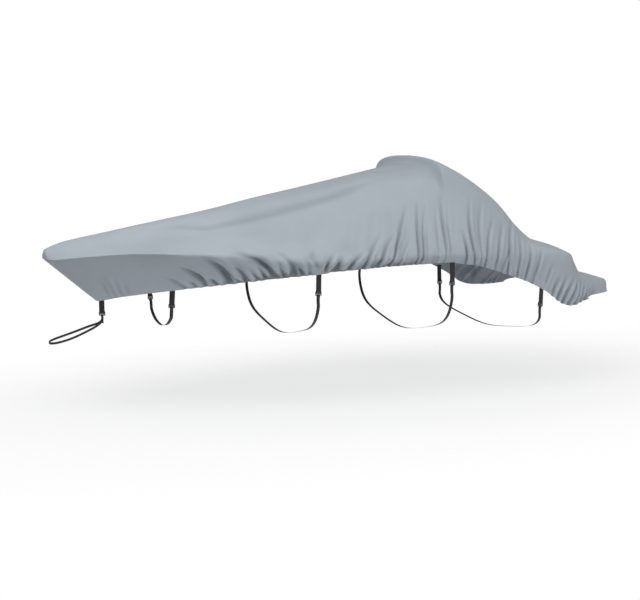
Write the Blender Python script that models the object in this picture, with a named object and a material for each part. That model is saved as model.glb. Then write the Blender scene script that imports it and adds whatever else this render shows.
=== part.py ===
"""Fitted cover for a 6.7 m runabout: hollow cloth panels, hem tabs, adjusters and straps.

Stations are distances aft of the bow tip, heights are above the deck edge there, and
half-breadths are distances from the centre line. The part's own origin is the mount under
the top of the windshield hump: +X points aft, +Y to starboard and +Z up.
"""
import bmesh
import bpy
import numpy as np
from mathutils import Matrix, Vector
from mathutils.bvhtree import BVHTree

CLOTH = 0.003            # thickness of the cloth
SEAM_GAP = 0.0003        # clearance between solids that touch
MOUNT_AFT = 4.45         # station of the mount under the windshield hump
MOUNT_UP = 1.005         # height of the cloth's underside there
FINE_PITCH = 0.062       # length of cloth between two columns of the mesh where it is folded
PLAIN_PITCH = 0.12       # and elsewhere
FOLDED = (0.80, 5.60)    # stations between which it is folded
CORNERS = (0.20, 5.85)   # ahead of the first and aft of the second it turns corners
CORNER_PITCH = 0.050     # and the columns lie this close
STERN_SEAM_AFT = 6.0     # station of the seam across the top of the transom

# Lines along the cover at each section. The hem lies "rake" further aft than the rest.
# Deck is the edge where the skirt turns down, knee the hollow of the foredeck and, from
# the windshield aft, the side of the hump, crown the edge of the top, ridge the middle.
SECTION_COLUMNS = ("aft", "rake", "hem_half", "hem_up", "deck_half", "deck_up", "knee_half",
                   "knee_up", "crown_half", "crown_up", "ridge_up", "rounding")
SECTIONS = (
    (0.000, 0.56, 0.00, -0.50, 0.00, -0.02, 0.00, 0.02, 0.00, 0.04, 0.05, 0.02),
    (0.010, 0.56, 0.03, -0.50, 0.10, -0.02, 0.07, 0.03, 0.03, 0.06, 0.08, 0.02),
    (0.060, 0.57, 0.07, -0.49, 0.19, -0.02, 0.11, 0.04, 0.05, 0.08, 0.11, 0.02),
    (0.200, 0.57, 0.14, -0.46, 0.30, 0.00, 0.16, 0.08, 0.08, 0.13, 0.16, 0.02),
    (0.850, 0.51, 0.47, -0.37, 0.69, 0.06, 0.25, 0.15, 0.16, 0.25, 0.28, 0.05),
    (1.900, 0.25, 0.94, -0.26, 1.05, 0.03, 0.36, 0.31, 0.26, 0.43, 0.47, 0.15),
    (2.500, 0.12, 1.05, -0.22, 1.14, -0.04, 0.41, 0.42, 0.31, 0.56, 0.59, 0.26),
    (3.100, 0.04, 1.11, -0.18, 1.19, -0.05, 0.46, 0.53, 0.37, 0.67, 0.70, 0.32),
    (3.950, 0.00, 1.15, -0.15, 1.22, -0.04, 0.64, 0.685, 0.47, 0.828, 0.875, 0.34),
    (4.325, 0.00, 1.16, -0.14, 1.22, -0.03, 0.78, 0.76, 0.54, 0.92, 0.945, 0.34),
    (4.390, 0.00, 1.16, -0.155, 1.22, -0.04, 0.835, 0.765, 0.805, 0.985, 1.045, 0.34),
    (4.640, 0.00, 1.17, -0.19, 1.22, -0.05, 0.89, 0.715, 0.745, 0.878, 0.96, 0.34),
    (5.100, 0.00, 1.18, -0.33, 1.21, -0.06, 0.92, 0.465, 0.64, 0.595, 0.685, 0.32),
    (5.350, 0.00, 1.18, -0.42, 1.20, -0.08, 0.91, 0.22, 0.60, 0.335, 0.405, 0.26),
    (5.600, 0.00, 1.17, -0.54, 1.18, -0.05, 0.885, 0.04, 0.56, 0.09, 0.12, 0.20),
    (5.850, 0.00, 1.15, -0.70, 1.16, -0.09, 0.88, -0.03, 0.56, 0.00, 0.01, 0.12),
    (5.980, 0.05, 1.12, -0.74, 1.11, -0.12, 0.84, -0.08, 0.54, -0.05, -0.04, 0.09),
    (6.095, 0.12, 1.02, -0.73, 1.04, -0.24, 0.78, -0.21, 0.50, -0.19, -0.18, 0.07),
    (6.250, 0.12, 0.95, -0.71, 0.95, -0.385, 0.70, -0.365, 0.44, -0.355, -0.345, 0.05),
    (6.420, 0.02, 0.92, -0.67, 0.91, -0.45, 0.64, -0.43, 0.40, -0.42, -0.41, 0.03),
    (6.640, 0.00, 0.90, -0.645, 0.88, -0.47, 0.62, -0.45, 0.38, -0.44, -0.44, 0.03),
    (6.710, 0.00, 0.87, -0.64, 0.85, -0.52, 0.60, -0.49, 0.36, -0.48, -0.48, 0.03),
    (6.725, 0.00, 0.86, -0.63, 0.84, -0.625, 0.59, -0.625, 0.36, -0.625, -0.625, 0.03),
)

# The main folds of the port side, bow to stern. Each is a trough that leaves the hem at
# station "hem" and dies out at station "top", "rise" metres of cloth above the hem.
FOLD_COLUMNS = ("hem", "top", "rise", "width", "depth")
FOLDS = (
    (0.14, 0.28, 0.46, 0.030, 0.010),
    (0.26, 0.40, 0.42, 0.035, 0.010),
    (0.93, 0.84, 0.30, 0.060, 0.028),
    (1.15, 1.09, 0.42, 0.055, 0.044),
    (1.46, 1.42, 0.46, 0.060, 0.046),
    (1.70, 1.67, 0.36, 0.050, 0.040),
    (2.12, 1.83, 0.46, 0.060, 0.044),
    (2.32, 2.30, 0.34, 0.050, 0.026),
    (2.50, 2.48, 0.26, 0.050, 0.028),
    (2.68, 2.90, 0.30, 0.055, 0.034),
    (3.02, 3.26, 0.30, 0.055, 0.034),
    (3.22, 3.46, 0.40, 0.050, 0.032),
    (3.40, 3.66, 0.50, 0.045, 0.026),
    (3.58, 3.97, 0.80, 0.045, 0.026),
    (3.85, 4.08, 0.90, 0.045, 0.030),
    (4.20, 4.33, 0.86, 0.040, 0.024),
    (4.51, 4.66, 0.84, 0.045, 0.026),
    (4.67, 4.82, 0.84, 0.040, 0.020),
    (4.77, 4.95, 0.72, 0.040, 0.024),
    (4.94, 5.07, 0.66, 0.040, 0.024),
    (5.08, 5.22, 0.68, 0.040, 0.024),
    (5.21, 5.28, 0.52, 0.040, 0.020),
    (5.34, 5.48, 0.58, 0.035, 0.020),
    (5.80, 5.95, 0.30, 0.030, 0.018),
    (5.92, 6.14, 0.26, 0.030, 0.018),
)
STARBOARD_SHIFT = 0.07   # how far a starboard fold may lie from its twin to port
STARBOARD_CHANGE = 0.25  # and by what share its rise and depth may differ

# Belly straps: the station of each, and the hull it passed round, as half-breadths and
# heights of its side and of the turn of the bilge, and the height of its keel.
STRAP_COLUMNS = ("aft", "side_half", "side_up", "bilge_half", "bilge_up", "keel_up", "drop")
STRAPS = (
    (0.76, 0.36, -0.69, 0.22, -0.78, -0.82, 0.160),
    (2.62, 1.06, -0.56, 0.94, -0.82, -1.02, 0.190),
    (4.33, 1.17, -0.54, 1.06, -0.86, -1.08, 0.220),
    (5.53, 1.16, -0.85, 1.06, -0.97, -1.11, 0.170),
)
BOW_TAB_AFT = 0.035      # station of the tab beside the stem

WEBBING = 0.0015         # thickness of the webbing
TAB_WIDTH = 0.060
TAB_SEWN = 0.040         # length of tab sewn to the inside of the hem
BOW_DROP = 0.130         # from the hem down to the bow buckle's top bar
TAB_RETURN = 0.110       # length of the tab's doubled back leg
STRAP_WIDTH = 0.038
STRAP_RETURN = 0.090     # the strap's end, folded back behind itself at the buckle
BUCKLE_THICK = 0.006
BUCKLE_BAR = 0.011       # height of each cross bar
BUCKLE_WINDOW = 0.0035   # height of the slots between the bars
BUCKLE_RAIL = 0.005      # width of the side rails
BUCKLE_EDGE = 0.0012     # bevel of the buckle's edges
LOOP_CLEAR = 0.0005      # air between a bar's corner and the webbing round it
LOOP_STEPS = 7           # straight pieces in a loop's half turn
STRAP_STEPS = 36         # points along a strap under the hull
BOW_WIDTH = 0.025
BOW_STEPS = 48
BOW_LEAVE = 0.060        # how far below its adjuster the bow strap turns ahead
BOW_TWIST = 8            # points over which the bow strap turns on edge
HEM_CLEAR = 0.006        # how far below the hem a tab starts to turn
TAB_PROBE = 0.05         # how far inside the cloth a tab's seat is measured from
TAB_OFF = 0.0004         # air between the hem's inner face and the tab
TAB_MARGIN = 0.003       # cloth left flat on each side of a tab

# Rows of the mesh between the hem, 0, and the ridge, 1.
ROWS = (0.0, 0.06, 0.12, 0.18, 0.25, 0.32, 0.39, 0.48, 0.58, 0.68, 0.78, 0.89, 1.0)

# The bow strap's route: ahead of its buckle, down and round the winch post, and back.
BOW_ROUTE = (
    (0.575, -0.055, -0.750), (0.50, -0.075, -0.785), (0.40, -0.085, -0.825),
    (0.28, -0.085, -0.875), (0.15, -0.080, -0.91), (0.06, -0.060, -0.925), (0.02, 0.0, -0.925),
    (0.06, 0.060, -0.91), (0.16, 0.085, -0.885), (0.29, 0.085, -0.85), (0.41, 0.075, -0.81),
    (0.505, 0.035, -0.77), (0.565, -0.010, -0.75),
)


def through(xs, ys, q):
    """Smooth curve through the rows ys at xs, with no overshoot between them."""
    step = np.diff(xs)
    rise = np.diff(ys, axis=0) / step[:, None]
    slope = np.zeros_like(ys)
    same = rise[:-1] * rise[1:] > 0
    near = (2 * step[1:] + step[:-1])[:, None]
    far = (step[1:] + 2 * step[:-1])[:, None]
    safe = np.where(same, rise[:-1], 1), np.where(same, rise[1:], 1)
    slope[1:-1] = np.where(same, (near + far) / (near / safe[0] + far / safe[1]), 0)
    slope[0], slope[-1] = rise[0], rise[-1]
    q = np.clip(q, xs[0], xs[-1])
    i = np.clip(np.searchsorted(xs, q, side="right") - 1, 0, len(xs) - 2)
    h = step[i][:, None]
    t = (q - xs[i])[:, None] / h
    held = (1 + 2 * t) * (1 - t) ** 2 * ys[i] + t * t * (3 - 2 * t) * ys[i + 1]
    return held + h * (t * (1 - t) ** 2 * slope[i] + t * t * (t - 1) * slope[i + 1])


def section_values(places):
    """The columns of SECTIONS at fractional row numbers, as a dictionary."""
    table = np.array(SECTIONS)
    rows = through(np.arange(len(table), dtype=float), table, places)
    return dict(zip(SECTION_COLUMNS, rows.T))


def blend(control, places):
    """Points of a cubic B-spline, at places from 0 to 1 along its control points."""
    spans = control.shape[-2] - 3
    run = np.asarray(places) * spans
    i = np.minimum(run.astype(int), spans - 1)
    t = run - i
    weights = ((1 - t) ** 3, 3 * t ** 3 - 6 * t * t + 4, -3 * t ** 3 + 3 * t * t + 3 * t + 1, t ** 3)
    return sum(control[..., i + k, :] * w[:, None] / 6 for k, w in enumerate(weights))


def half_sections(places, rows):
    """Points of the starboard half of each section, from hem to ridge."""
    at = section_values(places)
    line = {
        name: np.stack([at["aft"], at[name + "_half"], at[name + "_up"]], -1)
        for name in ("hem", "deck", "knee", "crown")
    }
    hem, deck, knee, crown = line.values()
    hem[:, 0] += at["rake"]
    ridge = np.stack([at["aft"], 0 * at["aft"], at["ridge_up"]], -1)

    def rounded(toward):
        away = np.maximum(np.linalg.norm(toward - deck, axis=1), SEAM_GAP)
        return deck + (toward - deck) * np.minimum(0.45, at["rounding"] / away)[:, None]

    below, above = rounded(hem), rounded(knee)
    skirt, slope = (hem + below) / 2, (above + knee) / 2
    beyond = crown * (1, -1, 1)
    control = (2 * hem - skirt, hem, skirt, below, deck, above, slope, knee, crown, ridge, beyond)
    return blend(np.stack(control, 1), rows)


def hem_lengths(places):
    """Length of hem between the stem and each place."""
    hem = half_sections(places, np.zeros(1))[:, 0]
    return np.concatenate([[0], np.cumsum(np.linalg.norm(np.diff(hem, axis=0), axis=1))])


def tab_edges(aft):
    """The places of the two columns that bound the tab at a station."""
    fine = np.linspace(0, len(SECTIONS) - 1, 4001)
    lengths = hem_lengths(fine)
    middle = np.interp(aft, section_values(fine)["aft"], lengths)
    half = TAB_WIDTH / 2 + TAB_MARGIN
    return np.interp([middle - half, middle + half], lengths, fine)


def column_places():
    """Fractional row numbers of the mesh's columns, closer where the cloth is folded."""
    fine = np.linspace(0, len(SECTIONS) - 1, 4001)
    deck = half_sections(fine, np.array([0.375]))[:, 0]
    aft = section_values(fine)["aft"]
    folded = (aft > FOLDED[0]) & (aft < FOLDED[1])
    corner = (aft < CORNERS[0]) | (aft > CORNERS[1])
    pitch = np.where(folded, FINE_PITCH, np.where(corner, CORNER_PITCH, PLAIN_PITCH))
    step = np.linalg.norm(np.diff(deck, axis=0), axis=1) / pitch[1:]
    count = np.concatenate([[0], np.cumsum(step)])
    places = np.interp(np.linspace(0, count[-1], int(count[-1]) + 1), count, fine)
    seam = np.interp(STERN_SEAM_AFT, aft, fine)
    last = len(SECTIONS) - 1.0
    fixed = [0, seam, last - 2, last - 1, last]
    for station in [row[0] for row in STRAPS] + [BOW_TAB_AFT]:
        fixed.extend(tab_edges(station))
    clear = 0.5 * np.interp(places, fine[1:], np.diff(fine) / step)
    apart = np.abs(places[:, None] - np.array(fixed)).min(axis=1)
    inside = np.zeros(len(places), bool)
    for station in [row[0] for row in STRAPS] + [BOW_TAB_AFT]:
        low, high = tab_edges(station)
        inside |= (places > low) & (places < high)
    kept = places[(apart > clear) & ~inside]
    return np.sort(np.concatenate([kept, fixed]))


def fold_depths(aft, girth, starboard):
    """How far the folds draw the cloth in, at stations and lengths of cloth above the hem."""
    drawn = np.zeros_like(girth)
    for number, row in enumerate(FOLDS):
        fold = dict(zip(FOLD_COLUMNS, row))
        if starboard:
            fold["hem"] += STARBOARD_SHIFT * np.sin(2.4 * number + 1)
            fold["top"] += STARBOARD_SHIFT * np.sin(2.4 * number + 1.5)
            change = 1 + STARBOARD_CHANGE * np.sin(1.7 * number)
            fold["rise"] *= change
            fold["depth"] *= change
        up = np.clip(girth / fold["rise"], 0, 1)
        middle = fold["hem"] + (fold["top"] - fold["hem"]) * up
        across = (aft[:, None] - middle) / fold["width"]
        fade = (1 - up ** 2) ** 2 * (0.5 + 0.5 * np.minimum(4 * up, 1))
        drawn += fold["depth"] * fade * (1 - 0.6 * across ** 2) * np.exp(-across ** 2 / 2)
    for station in [row[0] for row in STRAPS] + [BOW_TAB_AFT]:
        near = np.exp(-((aft[:, None] - station) / (2 * TAB_WIDTH)) ** 4)
        low = np.exp(-(girth / (3 * TAB_SEWN)) ** 4)
        drawn *= 1 - near * low
    return drawn


def cloth_grid(places):
    """Outer points and outward normals, from the port hem over the ridge to starboard."""
    half = half_sections(places, np.array(ROWS))
    steps = np.linalg.norm(np.diff(half, axis=1), axis=2)
    girth = np.concatenate([np.zeros((len(places), 1)), np.cumsum(steps, axis=1)], axis=1)
    aft = section_values(places)["aft"]
    base = np.concatenate([half * (1, -1, 1), half[:, -2::-1]], axis=1)
    port = fold_depths(aft, girth, False)
    starboard = fold_depths(aft, girth, True)
    drawn = np.concatenate([port, starboard[:, -2::-1]], axis=1)
    outer = base - drawn[..., None] * grid_normals(base)
    return outer, grid_normals(outer)


def grid_normals(grid):
    """Unit normals of the grid, level with the centre plane along the stem and ridge."""
    normal = np.cross(np.gradient(grid, axis=0), np.gradient(grid, axis=1))
    middle = len(ROWS) - 1
    normal[0, middle] = normal[0, middle - 1]
    normal[:, middle, 1] = 0
    normal /= np.linalg.norm(normal, axis=2)[..., None]
    normal[0, :, 1] = 0
    normal[0] /= (normal[0] ** 2).sum(axis=1)[:, None]
    return normal


def placed(points):
    """Points in the part's own frame, from stations and heights."""
    return points - np.array([MOUNT_AFT, 0, MOUNT_UP])


def material(name, color, roughness):
    """A Principled material of one linear colour."""
    made = bpy.data.materials.new(name)
    made.use_nodes = True
    shader = made.node_tree.nodes["Principled BSDF"]
    shader.inputs["Base Color"].default_value = (*color, 1)
    shader.inputs["Roughness"].default_value = roughness
    return made


def add_object(name, mesh, finish):
    """Link a mesh under a node's name, smooth except at its corners."""
    mesh.materials.clear()
    mesh.materials.append(finish)
    mesh.shade_smooth()
    mesh.set_sharp_from_angle(angle=np.radians(40))
    made = bpy.data.objects.new(name, mesh)
    bpy.context.scene.collection.objects.link(made)
    return made


def closed_mesh(name, points, faces):
    """A mesh whose faces point out, from faces that all turn the same way."""
    mesh = bpy.data.meshes.new(name)
    mesh.from_pydata(points.tolist(), [], faces)
    shape = bmesh.new()
    shape.from_mesh(mesh)
    if shape.calc_volume(signed=True) < 0:
        bmesh.ops.reverse_faces(shape, faces=shape.faces)
    shape.to_mesh(mesh)
    shape.free()
    return mesh


def panel(name, outer, normal, shift, finish):
    """One cloth panel: its outer grid, its inner grid and the edges that join them."""
    columns, rows = outer.shape[:2]
    points = placed(np.stack([outer, outer - CLOTH * normal]) + shift).reshape(-1, 3)
    index = np.arange(2 * columns * rows).reshape(2, columns, rows)
    faces = []
    for i in range(columns - 1):
        for j in range(rows - 1):
            corners = (i, j), (i + 1, j), (i + 1, j + 1), (i, j + 1)
            first, second, third, fourth = (outer[c] for c in corners)
            turn = int(np.linalg.norm(third - first) > np.linalg.norm(fourth - second))
            a, b, c, d = corners[turn:] + corners[:turn]
            for layer, order in ((0, 1), (1, -1)):
                for triangle in ((a, b, c), (a, c, d)):
                    faces.append([int(index[(layer, *corner)]) for corner in triangle[::order]])
    rim = [(i, 0) for i in range(columns)] + [(columns - 1, j) for j in range(1, rows)]
    rim += [(i, rows - 1) for i in range(columns - 2, -1, -1)]
    rim += [(0, j) for j in range(rows - 2, 0, -1)]
    for here, there in zip(rim, rim[1:] + rim[:1]):
        quad = (0, *there), (0, *here), (1, *here), (1, *there)
        faces.append([int(index[corner]) for corner in quad])
    return add_object(name, closed_mesh(name, points, faces), finish)


def band(name, path, across, width, finish):
    """Webbing along a path: across gives the direction of its width at each point."""
    ahead = np.gradient(path, axis=0)
    ahead /= np.linalg.norm(ahead, axis=1)[:, None]
    across = across - (across * ahead).sum(axis=1)[:, None] * ahead
    across /= np.linalg.norm(across, axis=1)[:, None]
    normal = np.cross(ahead, across)
    corners = ((1, 1), (1, -1), (-1, -1), (-1, 1))
    rings = [path + a * across * width / 2 + n * normal * WEBBING / 2 for a, n in corners]
    points = placed(np.stack(rings, 1)).reshape(-1, 3)
    faces = []
    for k in range(len(path) - 1):
        for c in range(4):
            d = (c + 1) % 4
            faces.append((4 * k + c, 4 * k + d, 4 * k + 4 + d, 4 * k + 4 + c))
    last = 4 * len(path) - 4
    faces += [(3, 2, 1, 0), (last, last + 1, last + 2, last + 3)]
    return add_object(name, closed_mesh(name, points, faces), finish)


def across_to(direction, axis):
    """The unit vector nearest a direction that is square to an axis."""
    level = direction - direction @ axis * axis
    return level / np.linalg.norm(level)


class TabFrame:
    """Where one tab is sewn inside the hem, and the directions in which it hangs from there."""

    def __init__(self, outer, normal, column, side, cloth_tree, pull, drop):
        hem_row = 0 if side < 0 else outer.shape[1] - 1
        corners = (outer - CLOTH * normal)[column:column + 2, [hem_row, hem_row - side]]
        hem, above = corners[:, 0], corners[:, 1]
        facing = np.cross(above[1] - hem[0], above[0] - hem[1])
        facing *= np.sign(facing @ normal[column, hem_row])
        self.facing = facing / np.linalg.norm(facing)
        pull = pull / np.linalg.norm(pull)
        self.seat_down = across_to(pull, self.facing)
        self.seat_along = np.cross(self.facing, self.seat_down)
        self.seat = hem.mean(axis=0) - TAB_PROBE * self.facing
        reaches = []
        for down in np.linspace(-TAB_SEWN, 0, 6):
            for along in np.linspace(-TAB_WIDTH / 2, TAB_WIDTH / 2, 7):
                start = placed(self.seat + down * self.seat_down + along * self.seat_along)
                ray = Vector(start.tolist()), Vector(self.facing.tolist()), 2 * TAB_PROBE
                reach = cloth_tree.ray_cast(*ray)[3]
                if reach is not None:
                    reaches.append(reach)
        inward = min(reaches) - TAB_OFF - WEBBING / 2
        self.seat = self.seat + inward * self.facing
        self.down = pull
        self.out = across_to(self.facing, pull)
        self.along = np.cross(self.out, self.down)
        self.base = self.seat + HEM_CLEAR * self.seat_down
        self.top_bar = drop
        self.lower_bar = drop + 2 * BAR_STEP

    def point(self, down, out):
        """The point so far below the hem and out from the middle of the tab's front leg."""
        return self.base + down * self.down + out * self.out


BAR_STEP = BUCKLE_BAR + BUCKLE_WINDOW
BAR_CORNER = np.hypot(BUCKLE_BAR / 2, BUCKLE_THICK / 2 - BUCKLE_EDGE)
LOOP = BAR_CORNER + LOOP_CLEAR + WEBBING / 2       # radius of webbing round a bar
BUCKLE_OUT = -LOOP                                 # middle of a buckle behind a tab's front
LEG_SLIDE = WEBBING + LOOP_CLEAR                   # between two legs that lie together


def half_turn(frame, bar, upper):
    """Points round a bar, from its front to its back, over its top or under it."""
    angles = np.linspace(0, np.pi, LOOP_STEPS + 1)
    reach = -LOOP if upper else LOOP
    return [frame.point(bar + reach * np.sin(a), BUCKLE_OUT + LOOP * np.cos(a)) for a in angles]


def tab(name, frame, finish):
    """Doubled webbing: down from the hem, under the buckle's top bar and up behind itself."""
    path = [frame.seat - TAB_SEWN * frame.seat_down, frame.base, frame.point(HEM_CLEAR, 0)]
    path += half_turn(frame, frame.top_bar, False)
    path.append(frame.point(frame.top_bar - TAB_RETURN, -LEG_SLIDE))
    across = np.tile(frame.along, (len(path), 1))
    across[:2] = frame.seat_along
    return band(name, np.array(path), across, TAB_WIDTH, finish)


def buckle_mesh(finish):
    """A flat adjuster with two slots: its top bar at the origin, its width along X."""
    half = TAB_WIDTH / 2 + 0.001
    across = (-half - BUCKLE_RAIL, -half, half, half + BUCKLE_RAIL)
    edges = [-BUCKLE_BAR / 2]
    for height in (BUCKLE_BAR, BUCKLE_WINDOW, BUCKLE_BAR, BUCKLE_WINDOW, BUCKLE_BAR):
        edges.append(edges[-1] + height)
    shape = bmesh.new()
    grid = [[shape.verts.new((x, y, -BUCKLE_THICK / 2)) for y in edges] for x in across]
    for i in range(3):
        for j in range(5):
            if i != 1 or j % 2 == 0:
                shape.faces.new((grid[i][j], grid[i][j + 1], grid[i + 1][j + 1], grid[i + 1][j]))
    raised = bmesh.ops.extrude_face_region(shape, geom=shape.faces[:])["geom"]
    corners = [item for item in raised if isinstance(item, bmesh.types.BMVert)]
    bmesh.ops.translate(shape, vec=(0, 0, BUCKLE_THICK), verts=corners)
    bmesh.ops.recalc_face_normals(shape, faces=shape.faces)
    mesh = bpy.data.meshes.new("buckle")
    shape.to_mesh(mesh)
    shape.free()
    mesh.materials.append(finish)
    return mesh


def buckle(name, frame, mesh):
    """One adjuster, hung in its tab's loop."""
    made = bpy.data.objects.new(name, mesh)
    bpy.context.scene.collection.objects.link(made)
    out = np.cross(frame.along, frame.down)
    turn = Matrix(np.stack([frame.along, frame.down, out], 1).tolist())
    spot = Vector(placed(frame.point(frame.top_bar, BUCKLE_OUT)).tolist())
    made.matrix_world = Matrix.Translation(spot) @ turn.to_4x4()
    edge = made.modifiers.new("edges", "BEVEL")
    edge.width = BUCKLE_EDGE
    edge.segments = 1
    return made


def strap_end(frame):
    """A strap's end, from its tip: up in front of the lower bar, over it and down behind."""
    back = BUCKLE_OUT - LOOP
    path = [frame.point(frame.lower_bar + STRAP_RETURN, back + LEG_SLIDE)]
    path += half_turn(frame, frame.lower_bar, True)
    path.append(frame.point(frame.lower_bar + STRAP_RETURN / 2, back))
    return np.array(path)


def belly_strap(name, port, starboard, row, finish):
    """One strap, from the port adjuster round the hull to the starboard adjuster."""
    at = dict(zip(STRAP_COLUMNS, row))
    ends = strap_end(port), strap_end(starboard)[::-1]
    station = ends[0][-1][0]
    half = np.array([
        (station, -at["side_half"], at["side_up"]),
        (station, -at["bilge_half"], at["bilge_up"]),
        (station, -at["bilge_half"] / 2, (at["bilge_up"] + at["keel_up"]) / 2),
        (station, 0, at["keel_up"]),
    ])
    hull = np.concatenate([half, half[-2::-1] * (1, -1, 1)])
    first, last = ends[0][-1], ends[1][0]
    before, after = 2 * first - ends[0][-2], 2 * last - ends[1][1]
    control = np.array([2 * first - before, first, before, *hull, after, last, 2 * last - after])
    round_hull = blend(control, np.linspace(0, 1, STRAP_STEPS))
    path = np.concatenate([ends[0][:-1], round_hull, ends[1][1:]])
    share = np.clip(np.linspace(-0.2, 1.2, len(path)), 0, 1)[:, None]
    across = port.along * (1 - share) + starboard.along * -share
    return band(name, path, across, STRAP_WIDTH, finish)


def bow_strap(name, frame, finish):
    """The loop at the stem: from the adjuster round the winch post and back behind itself."""
    end = strap_end(frame)
    back = BUCKLE_OUT - LOOP - LEG_SLIDE
    leave = frame.point(frame.lower_bar + BOW_LEAVE, BUCKLE_OUT - LOOP)
    arrive = frame.point(frame.lower_bar + BOW_LEAVE, back)
    tip = frame.point(frame.lower_bar + BAR_STEP, back)
    control = np.array([end[-1], end[-1], end[-1], leave, *BOW_ROUTE, arrive, tip, tip, tip])
    path = np.concatenate([end[:-1], blend(control, np.linspace(0, 1, BOW_STEPS))])
    step = np.arange(len(path))[:, None]
    lean = np.minimum(step - len(end) - 4, len(path) - 5 - step) / BOW_TWIST
    lean = np.clip(lean, 0, 1)
    across = frame.along * (1 - lean) + np.array([0, 0, 1]) * lean
    return band(name, path, across, BOW_WIDTH, finish)


for old in list(bpy.data.objects):
    bpy.data.objects.remove(old)

cloth = material("woven_polyester", (0.39, 0.44, 0.49), 0.75)
webbing = material("black_webbing", (0.02, 0.02, 0.02), 0.8)
plastic = material("black_acetal", (0.015, 0.015, 0.015), 0.4)

places = column_places()
outer, normal = cloth_grid(places)
last_side = int(np.argmin(np.abs(section_values(places)["aft"] - STERN_SEAM_AFT)))
middle = len(ROWS) - 1
half_gap = SEAM_GAP / 2
long_part, stern_part = slice(0, last_side + 1), slice(last_side, None)
port_panel = panel("port_panel", outer[long_part, :middle + 1],
                   normal[long_part, :middle + 1], (0, -half_gap, 0), cloth)
starboard_panel = panel("starboard_panel", outer[long_part, middle:],
                        normal[long_part, middle:], (0, half_gap, 0), cloth)
panel("stern_panel", outer[stern_part], normal[stern_part], (SEAM_GAP, 0, 0), cloth)

trees = {}
for side, made in ((-1, port_panel), (1, starboard_panel)):
    corners = [vertex.co for vertex in made.data.vertices]
    trees[side] = BVHTree.FromPolygons(corners, [face.vertices for face in made.data.polygons])
slotted = buckle_mesh(plastic)
for number, row in enumerate(STRAPS, 1):
    column = int(np.argmin(np.abs(places - tab_edges(row[0])[0])))
    frames = {}
    for side, side_name in ((-1, "port"), (1, "starboard")):
        hem = outer[column, 0 if side < 0 else -1]
        pull = np.array([0, side * row[1] - hem[1], row[2] - hem[2]])
        frames[side] = TabFrame(outer, normal, column, side, trees[side], pull, row[-1])
        tab(f"tab_{side_name}_{number}", frames[side], webbing)
        buckle(f"buckle_{side_name}_{number}", frames[side], slotted)
    belly_strap(f"strap_{number}", frames[-1], frames[1], row, webbing)

bow_column = int(np.argmin(np.abs(places - tab_edges(BOW_TAB_AFT)[0])))
bow_frame = TabFrame(
    outer, normal, bow_column, -1, trees[-1], np.array([0, 0, -1.0]), BOW_DROP)
tab("bow_tab", bow_frame, webbing)
buckle("bow_buckle", bow_frame, slotted)
bow_strap("bow_strap", bow_frame, webbing)
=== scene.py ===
"""Fitted boat cover: a coated cloth shell with hem tabs, adjusters and straps.

Lengths are in metres. +X points aft, +Y to starboard and +Z up, and the origin is the mount
on the underside of the cloth, under the top of the windshield hump.
"""

import bmesh
import bpy
import numpy as np
from mathutils import Matrix, Vector


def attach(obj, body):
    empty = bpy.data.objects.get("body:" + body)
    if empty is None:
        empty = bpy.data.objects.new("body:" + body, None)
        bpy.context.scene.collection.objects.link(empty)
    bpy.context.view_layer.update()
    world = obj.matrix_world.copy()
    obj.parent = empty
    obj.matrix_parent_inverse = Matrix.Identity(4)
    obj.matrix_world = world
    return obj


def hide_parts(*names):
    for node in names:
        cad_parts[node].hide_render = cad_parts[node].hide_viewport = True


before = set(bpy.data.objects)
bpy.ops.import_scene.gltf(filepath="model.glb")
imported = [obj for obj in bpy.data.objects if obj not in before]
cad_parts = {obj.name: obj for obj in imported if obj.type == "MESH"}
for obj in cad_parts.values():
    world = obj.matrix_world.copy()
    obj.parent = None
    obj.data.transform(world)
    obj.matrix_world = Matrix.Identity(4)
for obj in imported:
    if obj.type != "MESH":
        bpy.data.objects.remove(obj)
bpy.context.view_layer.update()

# ----------------------------------------
# Studio: a plain white room with a milky floor lit from below, well under the
# straps. One broad lamp overhead and a weaker one off the stern quarter light
# it, and the room gives the cloth less light than it shows behind it.
CAMERA_AT = (-7.330, -13.103, 0.377)
CAMERA_LOOKS_AT = (-1.220, 0.0, -1.655)
CAMERA_LENS_MM, CAMERA_REACH = 70.0, 400
FLOOR_UP = -2.78
FLOOR_HALF = 12.0
FLOOR_GLOW = 0.70  # brightness of the light from below the floor
FLOOR_MIDDLE, FLOOR_SOLID, FLOOR_GONE = -1.0, 1.0, 4.5  # where the floor thins out to the room
ROOM_SEEN = 1.0  # brightness of the room behind the cover
ROOM_SKY, ROOM_GROUND = 0.40, 0.26  # brightness of its ceiling and of its foot, on the cloth
# Each lamp: its name, its place, the point that it faces, its width and height, and its power.
LAMPS = (
    ("overhead_lamp", (-5.8, -4.1, 6.6), (-2.1, 0.0, -1.0), 8.0, 5.0, 565.0),
    ("quarter_lamp", (5.5, -11.5, 2.2), (0.8, 0.0, -1.0), 5.0, 4.0, 455.0),
)


def linear(sheet_hex):
    """Linear colour of an sRGB hex value such as "#A4ABB3"."""
    parts = [int(sheet_hex[k:k + 2], 16) / 255 for k in (1, 3, 5)]
    return (*[c / 12.92 if c <= 0.04045 else ((c + 0.055) / 1.055) ** 2.4 for c in parts], 1)


def add_node(tree, kind, inputs=None, **settings):
    """Add a node; a shader node's kind goes without its prefix.

    Its inputs are values, hex colours, sockets, or nodes that feed it by their first output.
    """
    made = tree.nodes.new(kind if "Node" in kind else "ShaderNode" + kind)
    for name, value in settings.items():
        setattr(made, name, value)
    for key, value in (inputs or {}).items():
        if isinstance(value, bpy.types.Node):
            value = value.outputs[0]
        if isinstance(value, str):
            value = linear(value)
        if isinstance(value, bpy.types.NodeSocket):
            tree.links.new(value, made.inputs[key])
        else:
            made.inputs[key].default_value = value
    return made


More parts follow.
